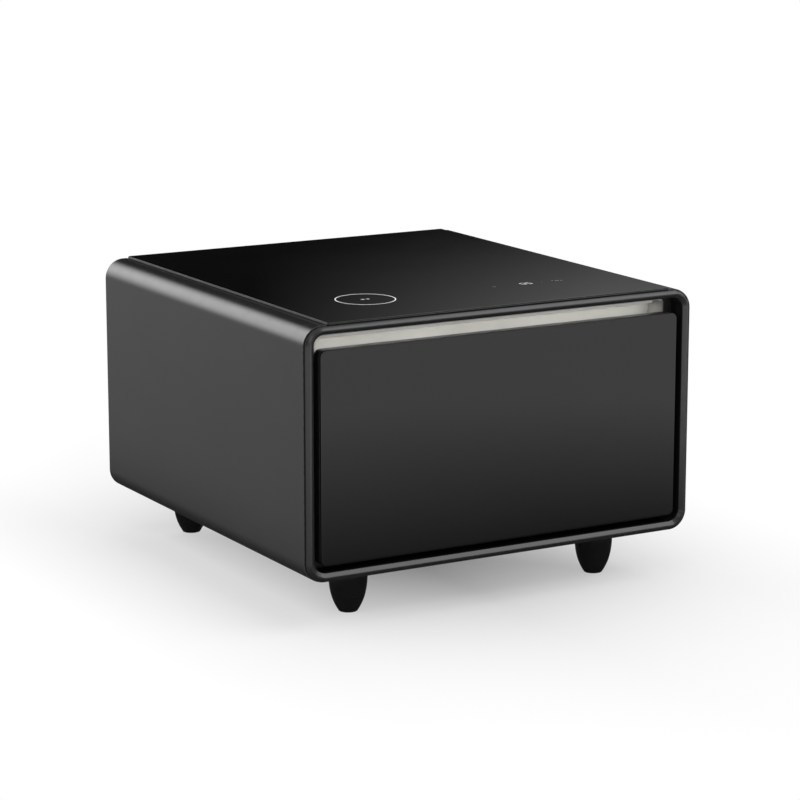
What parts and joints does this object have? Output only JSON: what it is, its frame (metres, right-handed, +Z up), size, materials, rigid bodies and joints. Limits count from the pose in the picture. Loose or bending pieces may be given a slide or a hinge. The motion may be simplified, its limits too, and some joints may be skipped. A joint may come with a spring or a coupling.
{
  "type": "side table with refrigerated drawer",
  "caption": "Low square side table with a black glass top, a refrigerated drawer on telescopic slides under a lit finger recess, four tapered feet and a louvred machine compartment behind.",
  "frame": {"origin": "on the floor, under the middle of the cabinet", "axes": "+Z up; -Y towards the front, the way the drawer opens; +X towards the right as seen from the front"},
  "size_m": [0.6, 0.618, 0.4088],
  "materials": {
    "cabinet_paint": "satin powder coat",
    "bezel_paint": "satin",
    "black_moulding": "fine moulded grain",
    "foot_plastic": "satin gloss",
    "inlet_plastic": "gloss",
    "fan_plastic": "gloss",
    "cove_plastic": "smooth, light grey",
    "diffuser": "frosted",
    "black_glass": "polished, back painted black",
    "circuit_board": "lacquered board",
    "copper": "drawn copper tube",
    "foam": "open foamed skin",
    "liner_plastic": "thermoformed, satin",
    "divider_plastic": "clear grey, satin",
    "evaporator_aluminium": "roll bonded, satin",
    "supply_aluminium": "brushed",
    "zinc_steel": "zinc plated",
    "slide_steel": "zinc plated, rolled",
    "compressor_paint": "gloss black enamel",
    "gasket_rubber": "soft vinyl",
    "mount_rubber": "moulded"
  },
  "bodies": {
    "cabinet": {"outer_wrap": "cabinet_paint", "front_bezel": "bezel_paint", "face_frame": "black_moulding", "light_cove": "cove_plastic", "led_strip": "circuit_board", "light_diffuser": "diffuser", "glass_top": "black_glass", "charger_case": "black_moulding", "charger_coil": "copper", "touch_board": "circuit_board", "insulation": "foam", "inner_liner": "liner_plastic", "evaporator_plate": "evaporator_aluminium", "machine_partition": "zinc_steel", "base_plate": "zinc_steel", "back_panel": "black_moulding", "power_inlet": "inlet_plastic", "power_supply": "supply_aluminium", "main_controller": "black_moulding", "compressor_shell": "compressor_paint", "compressor_bracket": "zinc_steel", "terminal_cover": "black_moulding", "condenser_coil": "copper", "condenser_bracket_front": "zinc_steel", "condenser_bracket_rear": "zinc_steel", "filter_drier": "copper", "discharge_pipe": "copper", "suction_pipe": "copper", "fan_frame": "fan_plastic", "compressor_mount_1": "mount_rubber", "compressor_mount_2": "mount_rubber", "compressor_mount_3": "mount_rubber", "compressor_mount_4": "mount_rubber", "foot_front_left": "foot_plastic", "foot_stud_front_left": "zinc_steel", "foot_front_right": "foot_plastic", "foot_stud_front_right": "zinc_steel", "foot_rear_left": "foot_plastic", "foot_stud_rear_left": "zinc_steel", "foot_rear_right": "foot_plastic", "foot_stud_rear_right": "zinc_steel", "slide_outer_left": "slide_steel", "slide_outer_right": "slide_steel"},
    "slide_middle_left": {"slide_middle_left": "slide_steel"},
    "slide_middle_right": {"slide_middle_right": "slide_steel"},
    "drawer": {"drawer_glass": "black_glass", "drawer_front_tray": "black_moulding", "drawer_front_foam": "foam", "drawer_inner_panel": "liner_plastic", "drawer_gasket": "gasket_rubber", "drawer_bin": "liner_plastic", "bin_divider": "divider_plastic", "slide_inner_left": "slide_steel", "slide_inner_right": "slide_steel"},
    "fan_rotor": {"fan_rotor": "fan_plastic"}
  },
  "joints": [
    {"name": "drawer_slide", "type": "slide", "parent": "cabinet", "child": "drawer", "axis": [0, -1, 0], "range_m": [0, 0.35]},
    {"name": "middle_slide_left", "type": "slide", "parent": "cabinet", "child": "slide_middle_left", "axis": [0, -1, 0], "range_m": [0, 0.175]},
    {"name": "middle_slide_right", "type": "slide", "parent": "cabinet", "child": "slide_middle_right", "axis": [0, -1, 0], "range_m": [0, 0.175]},
    {"name": "fan_spin", "type": "hinge", "parent": "cabinet", "child": "fan_rotor", "pos_m": [0.0446, 0.2325, 0.1311], "axis": [1, 0, 0], "continuous": true}
  ],
  "couplings": [
    {"joint": "middle_slide_left", "follows": "drawer_slide", "ratio": 0.5},
    {"joint": "middle_slide_right", "follows": "drawer_slide", "ratio": 0.5}
  ]
}
